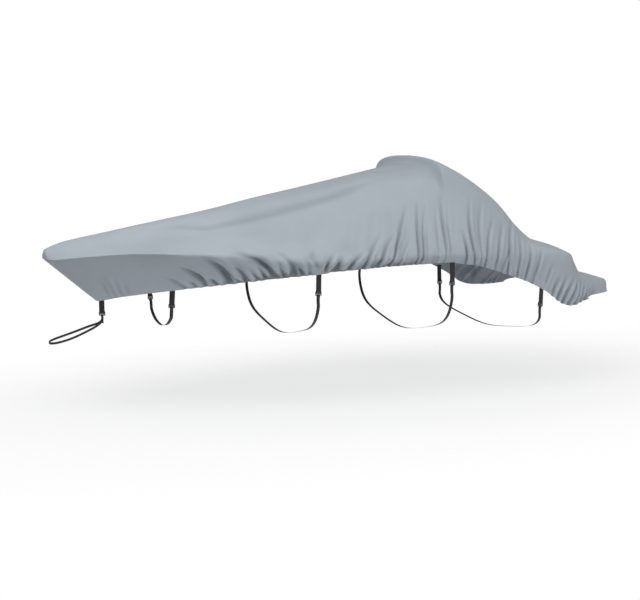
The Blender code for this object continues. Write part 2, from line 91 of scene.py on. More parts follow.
def new_material(name):
    """An empty node material, with its tree."""
    made = bpy.data.materials.new(name)
    made.use_nodes = True
    made.node_tree.nodes.clear()
    return made, made.node_tree


def put(name, data):
    """A new object in the scene."""
    made = bpy.data.objects.new(name, data)
    bpy.context.scene.collection.objects.link(made)
    return made


def aim(thing, place, target):
    """Put a camera or lamp at a place, facing a target."""
    thing.location = place
    away = Vector(target) - Vector(place)
    thing.rotation_euler = away.to_track_quat("-Z", "Y").to_euler()


scene = bpy.context.scene
scene.view_settings.view_transform = "Standard"
camera = put("camera", bpy.data.cameras.new("camera"))
camera.data.lens = CAMERA_LENS_MM
camera.data.clip_end = CAMERA_REACH
aim(camera, CAMERA_AT, CAMERA_LOOKS_AT)
scene.camera = camera

for name, at, faces, wide, high, watts in LAMPS:
    lamp = put(name, bpy.data.lights.new(name, "AREA"))
    lamp.data.shape = "RECTANGLE"
    lamp.data.size, lamp.data.size_y = wide, high
    lamp.data.energy = watts
    aim(lamp, at, faces)

room = bpy.data.worlds.new("white_room")
scene.world = room
room.use_nodes = True
tree = room.node_tree
tree.nodes.clear()
direction = add_node(tree, "TexCoord")
height = add_node(tree, "SeparateXYZ", {0: direction.outputs["Generated"]})
wall = add_node(tree, "MapRange", {
    "Value": height.outputs["Z"], "From Min": -0.3, "From Max": 0.9,
    "To Min": ROOM_GROUND, "To Max": ROOM_SKY})
seen = add_node(tree, "LightPath").outputs["Is Camera Ray"]
on_cloth = add_node(tree, "Background", {"Color": (0.98, 1, 0.99, 1), "Strength": wall})
backdrop = add_node(tree, "Background", {"Color": (1, 1, 1, 1), "Strength": ROOM_SEEN})
mixed = add_node(tree, "MixShader", {0: seen, 1: on_cloth, 2: backdrop})
add_node(tree, "OutputWorld", {0: mixed})

# Lit acrylic floor: a milky white sheet lit evenly from below, matt on top, so that shadows on
# it stay pale; it thins out all round into the white room.
floor_sheet, tree = new_material("lit_milky_acrylic")
place = add_node(tree, "TexCoord")
mottle = add_node(tree, "TexNoise", {
    "Vector": place.outputs["Object"], "Scale": 0.7, "Detail": 3.0})
shade = add_node(tree, "Mix", {"Factor": mottle, 6: "#8E8E8E", 7: "#939393"}, data_type="RGBA")
acrylic = add_node(tree, "BsdfPrincipled", {
    "Base Color": shade.outputs[2], "Roughness": 0.9, "Specular IOR Level": 0.1,
    "Emission Color": (1, 1, 1, 1), "Emission Strength": FLOOR_GLOW})
from_cover = add_node(tree, "VectorMath", {
    0: place.outputs["Object"], 1: (-FLOOR_MIDDLE, 0, -FLOOR_UP)}, operation="ADD")
stretched = add_node(tree, "VectorMath", {0: from_cover, 1: (0.5, 1, 1)}, operation="MULTIPLY")
away = add_node(tree, "VectorMath", {0: stretched}, operation="LENGTH")
fade = add_node(tree, "MapRange", {
    "Value": away.outputs["Value"], "From Min": FLOOR_SOLID, "From Max": FLOOR_GONE},
    interpolation_type="SMOOTHERSTEP")
clear = add_node(tree, "BsdfTransparent")
faded = add_node(tree, "MixShader", {0: fade, 1: acrylic, 2: clear})
add_node(tree, "OutputMaterial", {0: faded})

floor_mesh = bpy.data.meshes.new("floor")
floor_mesh.from_pydata([
    (FLOOR_HALF * x, FLOOR_HALF * y, FLOOR_UP) for x, y in ((-1, -1), (1, -1), (1, 1), (-1, 1))],
    [], [(0, 1, 2, 3)])
floor_mesh.materials.append(floor_sheet)
put("floor", floor_mesh)

# ----------------------------------------
# Cover shell: three panels of coated polyester cloth, cut to the boat's plan
# and sewn along the stem, the ridge and the top of the transom. The hem is
# turned under twice and stitched, and the cloth is drawn in to it in folds.
CLOTH = 0.0018  # thickness of the cloth
HEM_CLOTH = 0.0030  # and of the turned and stitched hem
HEM_BAND = 0.024  # height of the hem band
MOUNT_AFT, MOUNT_UP = 4.45, 1.005  # the mount's station and height above the bow's deck edge
STERN_SEAM_AFT = 6.0  # station of the seam across the top of the transom
DECK_ROW = 0.375  # where the deck edge lies, from the hem, 0, to the ridge, 1
ROUNDING_MOST = 0.45  # most that its rounding takes of the cloth beside it
NO_LENGTH = 0.0003  # and the length below which there is none beside it
# Columns and rows of the mesh: the pitch of the columns, the rows below the deck edge and above
# it, closer ones beside a seam, an end and the hem, how far off these the even ones start, and
# the fine steps, along and across, on which lengths are measured.
ALONG_PITCH = 0.0098
SKIRT_ROWS, TOP_ROWS, TOP_CROWDING = 24, 34, 1.25
SEAM_STOPS = np.array([0, 0.004, 0.012, 0.014, 0.020])
AFTER_SEAM, BEFORE_SEAM = 0.032, 0.026
END_STOPS, BEFORE_END = np.array([0.012, 0.006, 0.0]), 0.02
STEPS_ALONG, STEPS_ACROSS = 8001, 481
STITCH_UP = 0.0195  # height of the hem's stitches
HEM_STOPS = np.array([0, 0.004, 0.010, 0.016, STITCH_UP, 0.022, HEM_BAND, 0.026, 0.032])

# Lines along the cover at each section. The hem lies "rake" further aft than the rest.
# Deck is the edge where the skirt turns down, knee the hollow of the foredeck and, from
# the windshield aft, the side of the hump, crown the edge of the top, ridge the middle.
SECTION_COLUMNS = ("aft", "rake", "hem_half", "hem_up", "deck_half", "deck_up", "knee_half",
                   "knee_up", "crown_half", "crown_up", "ridge_up", "rounding")
SECTIONS = (
    (0.000, 0.56, 0.00, -0.50, 0.00, -0.02, 0.00, 0.02, 0.00, 0.04, 0.05, 0.02),
    (0.010, 0.56, 0.03, -0.50, 0.10, -0.02, 0.07, 0.03, 0.03, 0.06, 0.08, 0.02),
    (0.060, 0.57, 0.07, -0.49, 0.19, -0.02, 0.11, 0.04, 0.05, 0.08, 0.11, 0.02),
    (0.200, 0.57, 0.14, -0.46, 0.30, 0.00, 0.16, 0.08, 0.08, 0.13, 0.16, 0.02),
    (0.850, 0.51, 0.47, -0.37, 0.69, 0.06, 0.25, 0.15, 0.16, 0.25, 0.28, 0.05),
    (1.900, 0.25, 0.94, -0.26, 1.05, 0.03, 0.36, 0.31, 0.26, 0.43, 0.47, 0.15),
    (2.500, 0.12, 1.05, -0.22, 1.14, -0.04, 0.41, 0.42, 0.31, 0.56, 0.59, 0.26),
    (3.100, 0.04, 1.11, -0.18, 1.19, -0.05, 0.46, 0.53, 0.37, 0.67, 0.70, 0.32),
    (3.950, 0.00, 1.15, -0.15, 1.22, -0.04, 0.64, 0.685, 0.47, 0.828, 0.875, 0.34),
    (4.325, 0.00, 1.16, -0.14, 1.22, -0.03, 0.78, 0.76, 0.54, 0.92, 0.945, 0.34),
    (4.390, 0.00, 1.16, -0.155, 1.22, -0.04, 0.835, 0.765, 0.805, 0.985, 1.045, 0.34),
    (4.640, 0.00, 1.17, -0.19, 1.22, -0.05, 0.89, 0.715, 0.745, 0.878, 0.96, 0.34),
    (5.100, 0.00, 1.18, -0.33, 1.21, -0.06, 0.92, 0.465, 0.64, 0.595, 0.685, 0.32),
    (5.350, 0.00, 1.18, -0.42, 1.20, -0.08, 0.91, 0.22, 0.60, 0.335, 0.405, 0.26),
    (5.600, 0.00, 1.17, -0.54, 1.18, -0.05, 0.885, 0.04, 0.56, 0.09, 0.12, 0.20),
    (5.850, 0.00, 1.15, -0.70, 1.16, -0.09, 0.88, -0.03, 0.56, 0.00, 0.01, 0.12),
    (5.980, 0.05, 1.12, -0.74, 1.11, -0.12, 0.84, -0.08, 0.54, -0.05, -0.04, 0.09),
    (6.095, 0.12, 1.02, -0.73, 1.04, -0.24, 0.78, -0.21, 0.50, -0.19, -0.18, 0.07),
    (6.250, 0.12, 0.95, -0.71, 0.95, -0.385, 0.70, -0.365, 0.44, -0.355, -0.345, 0.05),
    (6.420, 0.02, 0.92, -0.67, 0.91, -0.45, 0.64, -0.43, 0.40, -0.42, -0.41, 0.03),
    (6.640, 0.00, 0.90, -0.645, 0.88, -0.47, 0.62, -0.45, 0.38, -0.44, -0.44, 0.03),
    (6.710, 0.00, 0.87, -0.64, 0.85, -0.52, 0.60, -0.49, 0.36, -0.48, -0.48, 0.03),
    (6.725, 0.00, 0.86, -0.63, 0.84, -0.625, 0.59, -0.625, 0.36, -0.625, -0.625, 0.03),
)

# Creases of the port side, bow to stern: low, high, start, middle, end, width and depth. Each
# runs from low to high metres of cloth above the hem, through the stations start to end. Its
# width and depth are in millimetres.
CREASES = (
    (0, 0.40, 0.12, 0.19, 0.25, 16, 10), (0, 0.46, 0.17, 0.25, 0.32, 17, 13),
    (0, 0.40, 0.24, 0.31, 0.38, 17, 11), (0, 0.34, 0.33, 0.37, 0.44, 19, 8),
    (0, 0.30, 0.93, 0.90, 0.86, 30, 24), (0, 0.18, 1.05, 1.05, 1.02, 24, 28),
    (0, 0.44, 1.16, 1.19, 1.09, 34, 46), (0, 0.25, 1.31, 1.29, 1.24, 29, 44),
    (0, 0.54, 1.44, 1.52, 1.40, 44, 52), (0, 0.23, 1.57, 1.57, 1.53, 27, 42),
    (0, 0.38, 1.68, 1.69, 1.62, 40, 46), (0, 0.27, 1.83, 1.82, 1.79, 28, 44),
    (0, 0.24, 1.94, 1.93, 1.90, 26, 40), (0.02, 0.52, 2.04, 2.01, 1.78, 50, 58),
    (0, 0.34, 2.17, 2.19, 2.18, 33, 50), (0, 0.42, 2.31, 2.34, 2.29, 36, 36),
    (0, 0.34, 2.42, 2.42, 2.41, 34, 50), (0, 0.30, 2.52, 2.54, 2.58, 30, 46),
    (0.02, 0.36, 2.62, 2.64, 2.68, 32, 50), (0, 0.28, 2.68, 2.79, 2.92, 26, 42),
    (0, 0.22, 2.85, 2.91, 2.99, 30, 42), (0, 0.25, 3.01, 3.11, 3.26, 24, 38),
    (0, 0.47, 3.19, 3.34, 3.53, 21, 35), (0, 0.46, 3.38, 3.50, 3.70, 19, 35),
    (0, 0.18, 3.31, 3.42, 3.52, 15, 14), (0, 0.86, 3.52, 3.74, 3.97, 15, 40),
    (0, 0.38, 3.64, 3.72, 3.87, 13, 20), (0, 0.90, 3.86, 3.96, 4.10, 13, 33),
    (0.04, 0.80, 3.93, 4.02, 4.15, 11, 22), (0, 0.70, 4.12, 4.17, 4.24, 11, 17),
    (0, 0.92, 4.22, 4.27, 4.33, 13, 33), (0, 0.84, 4.27, 4.32, 4.39, 11, 19),
    (0, 0.44, 4.50, 4.50, 4.49, 14, 33), (0, 0.84, 4.62, 4.59, 4.69, 13, 33),
    (0.10, 0.84, 4.69, 4.72, 4.85, 13, 20), (0, 0.68, 4.75, 4.81, 4.96, 14, 35),
    (0, 0.70, 4.89, 4.96, 5.12, 13, 30), (0, 0.40, 4.98, 5.04, 5.14, 11, 15),
    (0, 0.76, 5.06, 5.10, 5.27, 14, 34), (0, 0.60, 5.19, 5.23, 5.32, 13, 25),
    (0, 0.54, 5.30, 5.36, 5.43, 14, 31), (0, 0.54, 5.40, 5.48, 5.56, 14, 28),
    (0, 0.40, 5.57, 5.63, 5.70, 14, 18), (0, 0.32, 5.70, 5.75, 5.83, 16, 28),
    (0, 0.36, 5.78, 5.84, 5.94, 16, 36), (0, 0.36, 5.86, 5.93, 6.05, 16, 38),
    (0, 0.32, 5.93, 6.02, 6.14, 16, 38), (0, 0.28, 6.00, 6.10, 6.24, 16, 36),
    (0, 0.22, 6.09, 6.19, 6.32, 16, 28), (0, 0.16, 6.20, 6.29, 6.40, 16, 18),
)
STARBOARD_SHIFT = 0.07  # how far a starboard crease may lie from its twin to port
STARBOARD_CHANGE = 0.25  # and by what share its reach and depth may differ
SHIFT_TURN, CHANGE_TURN = 2.4, 1.7  # how quickly both vary from one crease to the next
CREASE_FOOT_WIDE, CREASE_WIDENS = 0.8, 0.6  # a crease's width at the hem, and its growth upward
# Its depth at the hem against its full depth, how soon it reaches that, and the powers by which
# it keeps it and then runs out.
CREASE_FOOT_DEEP, CREASE_DEEPENS, CREASE_KEEPS, CREASE_ENDS = 0.65, 3, 3, 1.6

# Beside each crease, on its stern side, the cloth rolls outward: how high against the crease's
# depth, and how far off and how wide against its width.
ROLL_HIGH, ROLL_OFF, ROLL_WIDE = 0.85, 1.7, 1.15

# The slack of the cloth between the creases: the station, the depth there of the gathers at
# the hem and of the soft upright ripples, how far these lean aft as they rise, and how far
# the hem itself is drawn in under the cloth.
SLACK = (
    (0.0, 0.001, 0.000, 0.10, 0.000), (0.8, 0.003, 0.001, -0.20, 0.002),
    (1.2, 0.010, 0.002, -0.10, 0.012), (1.9, 0.018, 0.002, -0.30, 0.026),
    (2.6, 0.020, 0.002, 0.30, 0.032), (3.1, 0.022, 0.003, 0.60, 0.032),
    (3.6, 0.014, 0.004, 0.45, 0.022), (4.3, 0.004, 0.005, 0.15, 0.008),
    (4.9, 0.003, 0.005, 0.22, 0.004), (5.5, 0.003, 0.004, 0.25, 0.004),
    (5.9, 0.005, 0.002, 0.40, 0.012), (6.3, 0.004, 0.002, 0.30, 0.014),
    (6.8, 0.003, 0.001, 0.00, 0.004),
)
TUCK_HIGH, TUCK_ROUGH = 0.085, 0.5  # height of the band that is drawn in, and how unevenly
HEM_LEVEL, HEM_LEAST = 0.15, 0.15  # height below which folds rise less, to this share
GATHER_LONG, GATHER_HIGH = 0.066, 0.110  # length along the hem, and height, of one gather
GATHER_COARSE, GATHER_FINE = 0.65, 0.45  # share of the coarse gathers, and size of the fine
POCKET_SHARP, POCKET_RISE = 2.2, -0.2  # how sharply they turn to pockets, and bulge between
RIPPLE_LONG, RIPPLE_HIGH = 0.036, 0.50  # length along the hem, and height, of one ripple
RIPPLE_SECOND, RIPPLE_SLOW = 0.6, 2.3  # depth and length of a second, slower set
# How they fade down to the hem and up: they are full from 60 to 130 mm up and gone by 980 mm.
RIPPLE_FOOT, RIPPLE_AT_HEM = 0.1, 0.4
RIPPLE_TOP, RIPPLE_HELD = 0.85, 1.15
SWELL, SWELL_LONG, SWELL_HIGH = 0.0035, 0.45, 0.7  # the slow swell of the whole cloth
NOISE_SEEDS = (3, 7)  # port and starboard
# The line of the long soft fold that runs aft along the foredeck, its width and depth, and how
# much it rolls back on each side.
DECK_FOLD = ((1.0, 0.18), (1.4, 0.27), (1.73, 0.42), (2.42, 0.47), (3.13, 0.48), (3.9, 0.42))
DECK_FOLD_WIDTH, DECK_FOLD_DEPTH, DECK_FOLD_BACK = 0.055, 0.010, 0.4
DECK_FOLD_STARTS, DECK_FOLD_ENDS = 0.5, 0.4  # lengths over which it comes and goes
BOW_TAB_AFT, STRAP_STATIONS = 0.035, (0.76, 2.62, 4.33, 5.53)
TAB_FLAT, TAB_FLAT_HIGH = 0.10, 0.12  # cloth that a tab holds flat, each way and up
RIDGE_FLAT = 0.10  # and that the ridge seam holds flat
HOLLOW_DEEP = 0.032  # folds this deep take the full painted shade of the folds


def through(xs, ys, q):
    """Smooth curve through the rows ys at xs, with no overshoot between them."""
    step = np.diff(xs)
    rise = np.diff(ys, axis=0) / step[:, None]
    slope = np.zeros_like(ys)
    same = rise[:-1] * rise[1:] > 0
    near = (2 * step[1:] + step[:-1])[:, None]
    far = (step[1:] + 2 * step[:-1])[:, None]
    safe = np.where(same, rise[:-1], 1), np.where(same, rise[1:], 1)
    slope[1:-1] = np.where(same, (near + far) / (near / safe[0] + far / safe[1]), 0)
    slope[0], slope[-1] = rise[0], rise[-1]
    q = np.clip(q, xs[0], xs[-1])
    i = np.clip(np.searchsorted(xs, q, side="right") - 1, 0, len(xs) - 2)
    h = step[i][:, None]
    t = (q - xs[i])[:, None] / h
    held = (1 + 2 * t) * (1 - t) ** 2 * ys[i] + t * t * (3 - 2 * t) * ys[i + 1]
    return held + h * (t * (1 - t) ** 2 * slope[i] + t * t * (t - 1) * slope[i + 1])


def section_values(places):
    """The columns of SECTIONS at fractional row numbers, as a dictionary."""
    table = np.array(SECTIONS)
    rows = through(np.arange(len(table), dtype=float), table, places)
    return dict(zip(SECTION_COLUMNS, rows.T))


def running_length(points, axis=0):
    """Length along rows of points, from 0 at the first."""
    steps = np.linalg.norm(np.diff(points, axis=axis), axis=-1)
    return np.insert(np.cumsum(steps, axis=axis), 0, 0, axis=axis)


def blend(control, places):
    """Points of a cubic B-spline, at places from 0 to 1 along its control points."""
    spans = control.shape[-2] - 3
    run = np.asarray(places) * spans
    i = np.minimum(run.astype(int), spans - 1)
    t = run - i
    weights = ((1 - t) ** 3, 3 * t ** 3 - 6 * t * t + 4, -3 * t ** 3 + 3 * t * t + 3 * t + 1, t ** 3)
    return sum(control[..., i + k, :] * w[:, None] / 6 for k, w in enumerate(weights))


def half_sections(places, rows):
    """Points of the starboard half of each section, from hem to ridge."""
    at = section_values(places)
    hem, deck, knee, crown = (
        np.stack([at["aft"], at[name + "_half"], at[name + "_up"]], -1)
        for name in ("hem", "deck", "knee", "crown"))
    hem[:, 0] += at["rake"]
    ridge = np.stack([at["aft"], 0 * at["aft"], at["ridge_up"]], -1)

    def rounded(toward):
        away = np.maximum(np.linalg.norm(toward - deck, axis=1), NO_LENGTH)
        return deck + (toward - deck) * np.minimum(ROUNDING_MOST, at["rounding"] / away)[:, None]

    below, above = rounded(hem), rounded(knee)
    skirt, slope = (hem + below) / 2, (above + knee) / 2
    beyond = crown * (1, -1, 1)
    control = (2 * hem - skirt, hem, skirt, below, deck, above, slope, knee, crown, ridge, beyond)
    return blend(np.stack(control, 1), rows)


def smooth_noise(x, y, seed):
    """Even noise from -1 to 1 that changes over about one unit of x and of y."""
    table = np.random.default_rng(seed).uniform(-1, 1, (64, 64))
    i, j = np.floor(x).astype(int), np.floor(y).astype(int)
    s, t = x - i, y - j
    s, t = s * s * (3 - 2 * s), t * t * (3 - 2 * t)
    low = table[i % 64, j % 64] * (1 - s) + table[(i + 1) % 64, j % 64] * s
    high = table[i % 64, (j + 1) % 64] * (1 - s) + table[(i + 1) % 64, (j + 1) % 64] * s
    return low * (1 - t) + high * t


def fold_depths(aft, girth, to_ridge, starboard):
    """How far the cloth is drawn in, from its station, height above the hem and side."""
    seed = NOISE_SEEDS[starboard]
    stations, *slack = np.array(SLACK).T
    gathers, ripples, lean, tuck = (np.interp(aft, stations, part)[:, None] for part in slack)
    across = aft[:, None] - lean * girth
    level = girth / GATHER_HIGH
    rough = GATHER_COARSE * smooth_noise(across / GATHER_LONG, level, seed)
    rough += (1 - GATHER_COARSE) * smooth_noise(across / (GATHER_FINE * GATHER_LONG), level, seed + 1)
    drawn = gathers * np.clip(POCKET_SHARP * rough, POCKET_RISE, 1) * np.exp(-level ** 2)
    drawn += tuck * (1 + TUCK_ROUGH * rough) * np.exp(-(girth / TUCK_HIGH) ** 2)
    level = girth / RIPPLE_HIGH
    soft = smooth_noise(across / RIPPLE_LONG, level, seed + 2)
    soft += RIPPLE_SECOND * smooth_noise(across / (RIPPLE_SLOW * RIPPLE_LONG), level + 9, seed + 3)
    soft *= np.clip(RIPPLE_HELD - girth / RIPPLE_TOP, 0, 1)
    soft *= np.clip(RIPPLE_AT_HEM + girth / RIPPLE_FOOT, 0, 1)
    drawn += ripples * soft
    for number, (low, high, start, middle, end, width, depth) in enumerate(CREASES):
        shift, width, depth = 0, width / 1000, depth / 1000
        if starboard:
            shift = STARBOARD_SHIFT * np.sin(SHIFT_TURN * number + 1)
            change = 1 + STARBOARD_CHANGE * np.sin(CHANGE_TURN * number)
            high, depth = high * change, depth * change
        up = np.clip((girth - low) / (high - low), 0, 1)
        bend = 4 * up * (1 - up) * (middle - (start + end) / 2)
        run = start + shift + (end - start) * up + bend
        off = (aft[:, None] - run) / (width * (CREASE_FOOT_WIDE + CREASE_WIDENS * up))
        fade = (1 - up ** CREASE_KEEPS) ** CREASE_ENDS
        fade *= CREASE_FOOT_DEEP + (1 - CREASE_FOOT_DEEP) * np.minimum(CREASE_DEEPENS * up, 1)
        roll = ROLL_HIGH * np.exp(-((off - ROLL_OFF) / ROLL_WIDE) ** 2 / 2)
        drawn += depth * fade * (np.exp(-off ** 2 / 2) - roll)
    line = np.interp(aft, *np.array(DECK_FOLD).T)[:, None]
    along = np.clip((aft - DECK_FOLD[0][0]) / DECK_FOLD_STARTS, 0, 1)
    along *= np.clip((DECK_FOLD[-1][0] - aft) / DECK_FOLD_ENDS, 0, 1)
    off = (to_ridge - line) / DECK_FOLD_WIDTH
    drawn += DECK_FOLD_DEPTH * along[:, None] * (1 - DECK_FOLD_BACK * off ** 2) * np.exp(-off ** 2 / 2)
    drawn += SWELL * smooth_noise(
        aft[:, None] / SWELL_LONG, girth / (SWELL_HIGH * SWELL_LONG), seed + 4)
    for station in (BOW_TAB_AFT, *STRAP_STATIONS):
        near = np.exp(-((aft[:, None] - station) / TAB_FLAT) ** 4)
        drawn *= 1 - near * np.exp(-(girth / TAB_FLAT_HIGH) ** 4)
    return drawn * (1 - np.exp(-(to_ridge / RIDGE_FLAT) ** 2))


def column_places():
    """Fractional row numbers of the mesh's columns, a pitch apart along the deck edge."""
    fine = np.linspace(0, len(SECTIONS) - 1, STEPS_ALONG)
    run = running_length(half_sections(fine, np.array([DECK_ROW]))[:, 0])
    seam = np.interp(np.interp(STERN_SEAM_AFT, section_values(fine)["aft"], fine), fine, run)
    ahead = np.arange(AFTER_SEAM, seam - BEFORE_SEAM, ALONG_PITCH)
    behind = np.arange(seam + AFTER_SEAM, run[-1] - BEFORE_END, ALONG_PITCH)
    ahead = np.concatenate([SEAM_STOPS, ahead, seam - SEAM_STOPS[::-1]])
    behind = np.concatenate([seam + SEAM_STOPS, behind, run[-1] - END_STOPS])
    return np.interp(ahead, run, fine), np.interp(behind, run, fine)


def half_cloth(places, starboard):
    """One side's outer points from hem to ridge, with the depth of its folds."""
    samples = half_sections(places, np.linspace(0, 1, STEPS_ACROSS))
    samples = samples * (1, 1 if starboard else -1, 1)
    length = running_length(samples, axis=1)
    total = length[:, -1:]
    deck = length[:, [round(DECK_ROW * (samples.shape[1] - 1))]]
    skirt_share = np.linspace(0, 1, SKIRT_ROWS)[None, 1:]
    top_share = np.linspace(0, 1, TOP_ROWS)[None, 1:-1] ** TOP_CROWDING
    girth = np.concatenate([
        np.tile(HEM_STOPS, (len(places), 1)),
        HEM_STOPS[-1] + (deck - HEM_STOPS[-1]) * skirt_share,
        deck + (total - SEAM_STOPS[-1] - deck) * top_share,
        total - SEAM_STOPS[::-1]], axis=1)
    base = np.stack([
        [np.interp(g, l, p[:, axis]) for axis in range(3)]
        for g, l, p in zip(girth, length, samples)]).transpose(0, 2, 1)
    aft = section_values(places)["aft"]
    return base, fold_depths(aft, girth, total - girth, starboard), girth, total


def grid_normals(grid, middle, stem):
    """Unit normals of the grid, level with the centre plane along the stem and the ridge."""
    normal = np.cross(np.gradient(grid, axis=0), np.gradient(grid, axis=1))
    if middle == 0 or middle == grid.shape[1] - 1:
        edge = slice(middle, middle + 1)
        inner = 1 if middle == 0 else middle - 1
        if stem:
            normal[0, middle] = normal[0, inner]
        normal[:, edge, 1] = 0
    normal /= np.maximum(np.linalg.norm(normal, axis=2), 1e-12)[..., None]
    if stem:
        normal[0, :, 1] = 0
        normal[0] /= np.maximum((normal[0] ** 2).sum(axis=1), 1e-6)[:, None]
    return normal


def smoothed(mesh, finish, sharp):
    """The mesh in its material, smooth but for edges that turn by more degrees than sharp."""
    mesh.materials.append(finish)
    mesh.shade_smooth()
    mesh.set_sharp_from_angle(angle=np.radians(sharp))
    return mesh


def add_piece(name, mesh, node):
    """Link a finished mesh, ride it on the body and let it stand for its CAD node."""
    piece = put(name, mesh)
    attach(piece, "root")
    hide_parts(node)
    return piece


def lay_panel(side, places, halves, raised):
    """One cloth panel: outer and inner grids and their rim, with cloth coordinates as its UVs."""
    cloth = []
    for half in halves:
        base, drawn, girth, total = half_cloth(places, half == "starboard")
        laid = np.dstack([base, drawn, girth, total - girth])
        cloth.append(laid[:, ::-1] if half == "starboard" else laid)
    middle = cloth[0].shape[1] - 1 if halves[0] == "port" else 0
    whole = np.concatenate([cloth[0], *[laid[:, 1:] for laid in cloth[1:]]], axis=1)
    base, drawn, girth, to_ridge = whole[..., :3], whole[..., 3], whole[..., 4], whole[..., 5]
    stem = side != "stern"
    inward = grid_normals(base, middle, stem)
    inward[..., 2] *= np.clip(girth / HEM_LEVEL, HEM_LEAST, 1)
    outer = base - drawn[..., None] * inward
    normal = grid_normals(outer, middle, stem)
    run = running_length(outer[:, middle])
    seam = to_ridge if stem else np.inf
    for edge in raised:
        seam = np.minimum(seam, np.linalg.norm(outer - outer[edge], axis=2))
    band = girth if stem else np.minimum(girth, np.linalg.norm(outer - outer[-1], axis=2))
    lift = SEAM_RAISE * np.clip((SEAM_BAND - seam) / BAND_EDGE, 0, 1)
    lift *= np.clip(seam / STITCH_WIDE, 0, 1)
    groove = STITCH_DRAW * np.exp(-((band - STITCH_UP) / STITCH_WIDE) ** 2)
    outer = outer + (lift - groove)[..., None] * normal
    turned = np.clip((HEM_BAND + BAND_EDGE / 2 - band) / BAND_EDGE, 0, 1)
    inner = outer - (CLOTH + (HEM_CLOTH - CLOTH) * turned + lift)[..., None] * normal
    columns, rows = girth.shape
    points = np.stack([outer, inner]).reshape(-1, 3) - (MOUNT_AFT, 0, MOUNT_UP)
    index = np.arange(2 * columns * rows).reshape(2, columns, rows)
    front = np.stack([index[0, :-1, :-1], index[0, 1:, :-1], index[0, 1:, 1:], index[0, :-1, 1:]], -1)
    back = (front + columns * rows)[..., ::-1]
    rim = np.concatenate(
        [index[0, :, 0], index[0, -1, 1:], index[0, -2::-1, -1], index[0, 0, -2:0:-1]])
    around = np.stack([np.roll(rim, -1), rim], -1)
    around = np.concatenate([around, around[:, ::-1] + columns * rows], axis=1)
    quads = np.concatenate([front.reshape(-1, 4), back.reshape(-1, 4), around])
    mesh = bpy.data.meshes.new("cover_" + side)
    mesh.from_pydata(points.tolist(), [], quads.tolist())
    smoothed(mesh, cloth_face, CLOTH_SHARP)
    mesh.materials.append(cloth_back)
    on_back = np.zeros(len(quads), dtype=np.int32)
    on_back[front.size // 4:front.size // 2] = 1
    mesh.polygons.foreach_set("material_index", on_back)
    along_cloth = np.stack([np.tile(run[:, None], (1, rows)), girth], -1).reshape(-1, 2)
    corner_points = np.empty(len(mesh.loops), dtype=np.int32)
    mesh.loops.foreach_get("vertex_index", corner_points)
    corner_uvs = np.tile(along_cloth, (2, 1))[corner_points]
    mesh.uv_layers.new(name="cloth").data.foreach_set("uv", corner_uvs.ravel())
    # Fold depth, which the cloth's material turns into painted shade in the folds.
    fold_shade_depth = mesh.attributes.new("fold_shade_depth", "FLOAT", "POINT")
    fold_shade_depth.data.foreach_set("value", np.tile(np.clip(drawn / HOLLOW_DEEP, -1, 1).ravel(), 2))
    piece = add_piece("cover_" + side, mesh, side + "_panel")
    return piece, outer - (MOUNT_AFT, 0, MOUNT_UP), normal


SEAM_BAND, SEAM_RAISE = 0.015, 0.0009  # width and thickness of the felled seam on each side
BAND_EDGE = 0.002  # width of the step at the edge of a seam or the hem
STITCH_WIDE, STITCH_DRAW = 0.003, 0.0004  # the dip along the hem's stitches
CLOTH_SHARP = 50  # edges that turn by more degrees than this stay sharp

# Solution-dyed polyester, plain weave, coated on the back: matt, with a soft sheen at grazing
# angles, a fine grain of crossing threads, slow changes of tone from handling and sun, and painted shade
# in its deeper folds.
THREAD_PITCH = 0.0022  # drawn four times as coarse as 600-denier cloth, to show
# The first two are the dye's random tones; the third is painted shade for the deepest folds.
FACE_LIGHT, FACE_DARK, FACE_FOLD_SHADE = "#AEB6BE", "#A6AEB7", "#727B82"
cloth_face, tree = new_material("solution_dyed_polyester_weave")
WAVE = 0.31416  # scale of a wave texture with bands one metre apart
cloth_uv = add_node(tree, "UVMap", uv_map="cloth")
warp, weft = [add_node(tree, "TexWave", {
    "Vector": cloth_uv, "Scale": WAVE / THREAD_PITCH}, bands_direction=way) for way in "XY"]
crossing = add_node(tree, "Math", {
    0: warp.outputs["Fac"], 1: weft.outputs["Fac"]}, operation="MULTIPLY")
slub_space = add_node(tree, "Mapping", {"Vector": cloth_uv, "Scale": (14.0, 160.0, 1.0)})
slub = add_node(tree, "TexNoise", {"Vector": slub_space, "Scale": 1.0, "Detail": 2.0})
place = add_node(tree, "TexCoord")
tone = add_node(tree, "TexNoise", {
    "Vector": place.outputs["Object"], "Scale": 1.3, "Detail": 4.0, "Roughness": 0.55})
tone_share = add_node(tree, "MapRange", {"Value": tone, "From Min": 0.3, "From Max": 0.7})
dyed = add_node(tree, "Mix", {
    "Factor": tone_share, 6: FACE_DARK, 7: FACE_LIGHT}, data_type="RGBA")
# Painted shade: the deeper the cloth is drawn into a fold, the darker its colour, standing in for the
# shade inside the folds.
fold_shade_depth = add_node(tree, "Attribute", attribute_name="fold_shade_depth")
fold_shade_share = add_node(tree, "MapRange", {"Value": fold_shade_depth.outputs["Fac"], "To Max": 0.95})
fold_shaded = add_node(tree, "Mix", {
    "Factor": fold_shade_share, 6: dyed.outputs[2], 7: FACE_FOLD_SHADE}, data_type="RGBA")
threads = add_node(tree, "Math", {0: crossing, 1: slub}, operation="ADD")
thread_tone = add_node(tree, "MapRange", {
    "Value": threads, "From Min": 0.2, "From Max": 1.3, "To Min": 0.90, "To Max": 1.05})
woven = add_node(tree, "VectorMath", {
    0: fold_shaded.outputs[2], "Scale": thread_tone}, operation="SCALE")
dull = add_node(tree, "MapRange", {"Value": slub, "To Min": 0.72, "To Max": 0.88})
relief = add_node(tree, "Bump", {"Height": threads, "Strength": 0.35, "Distance": 0.0004})
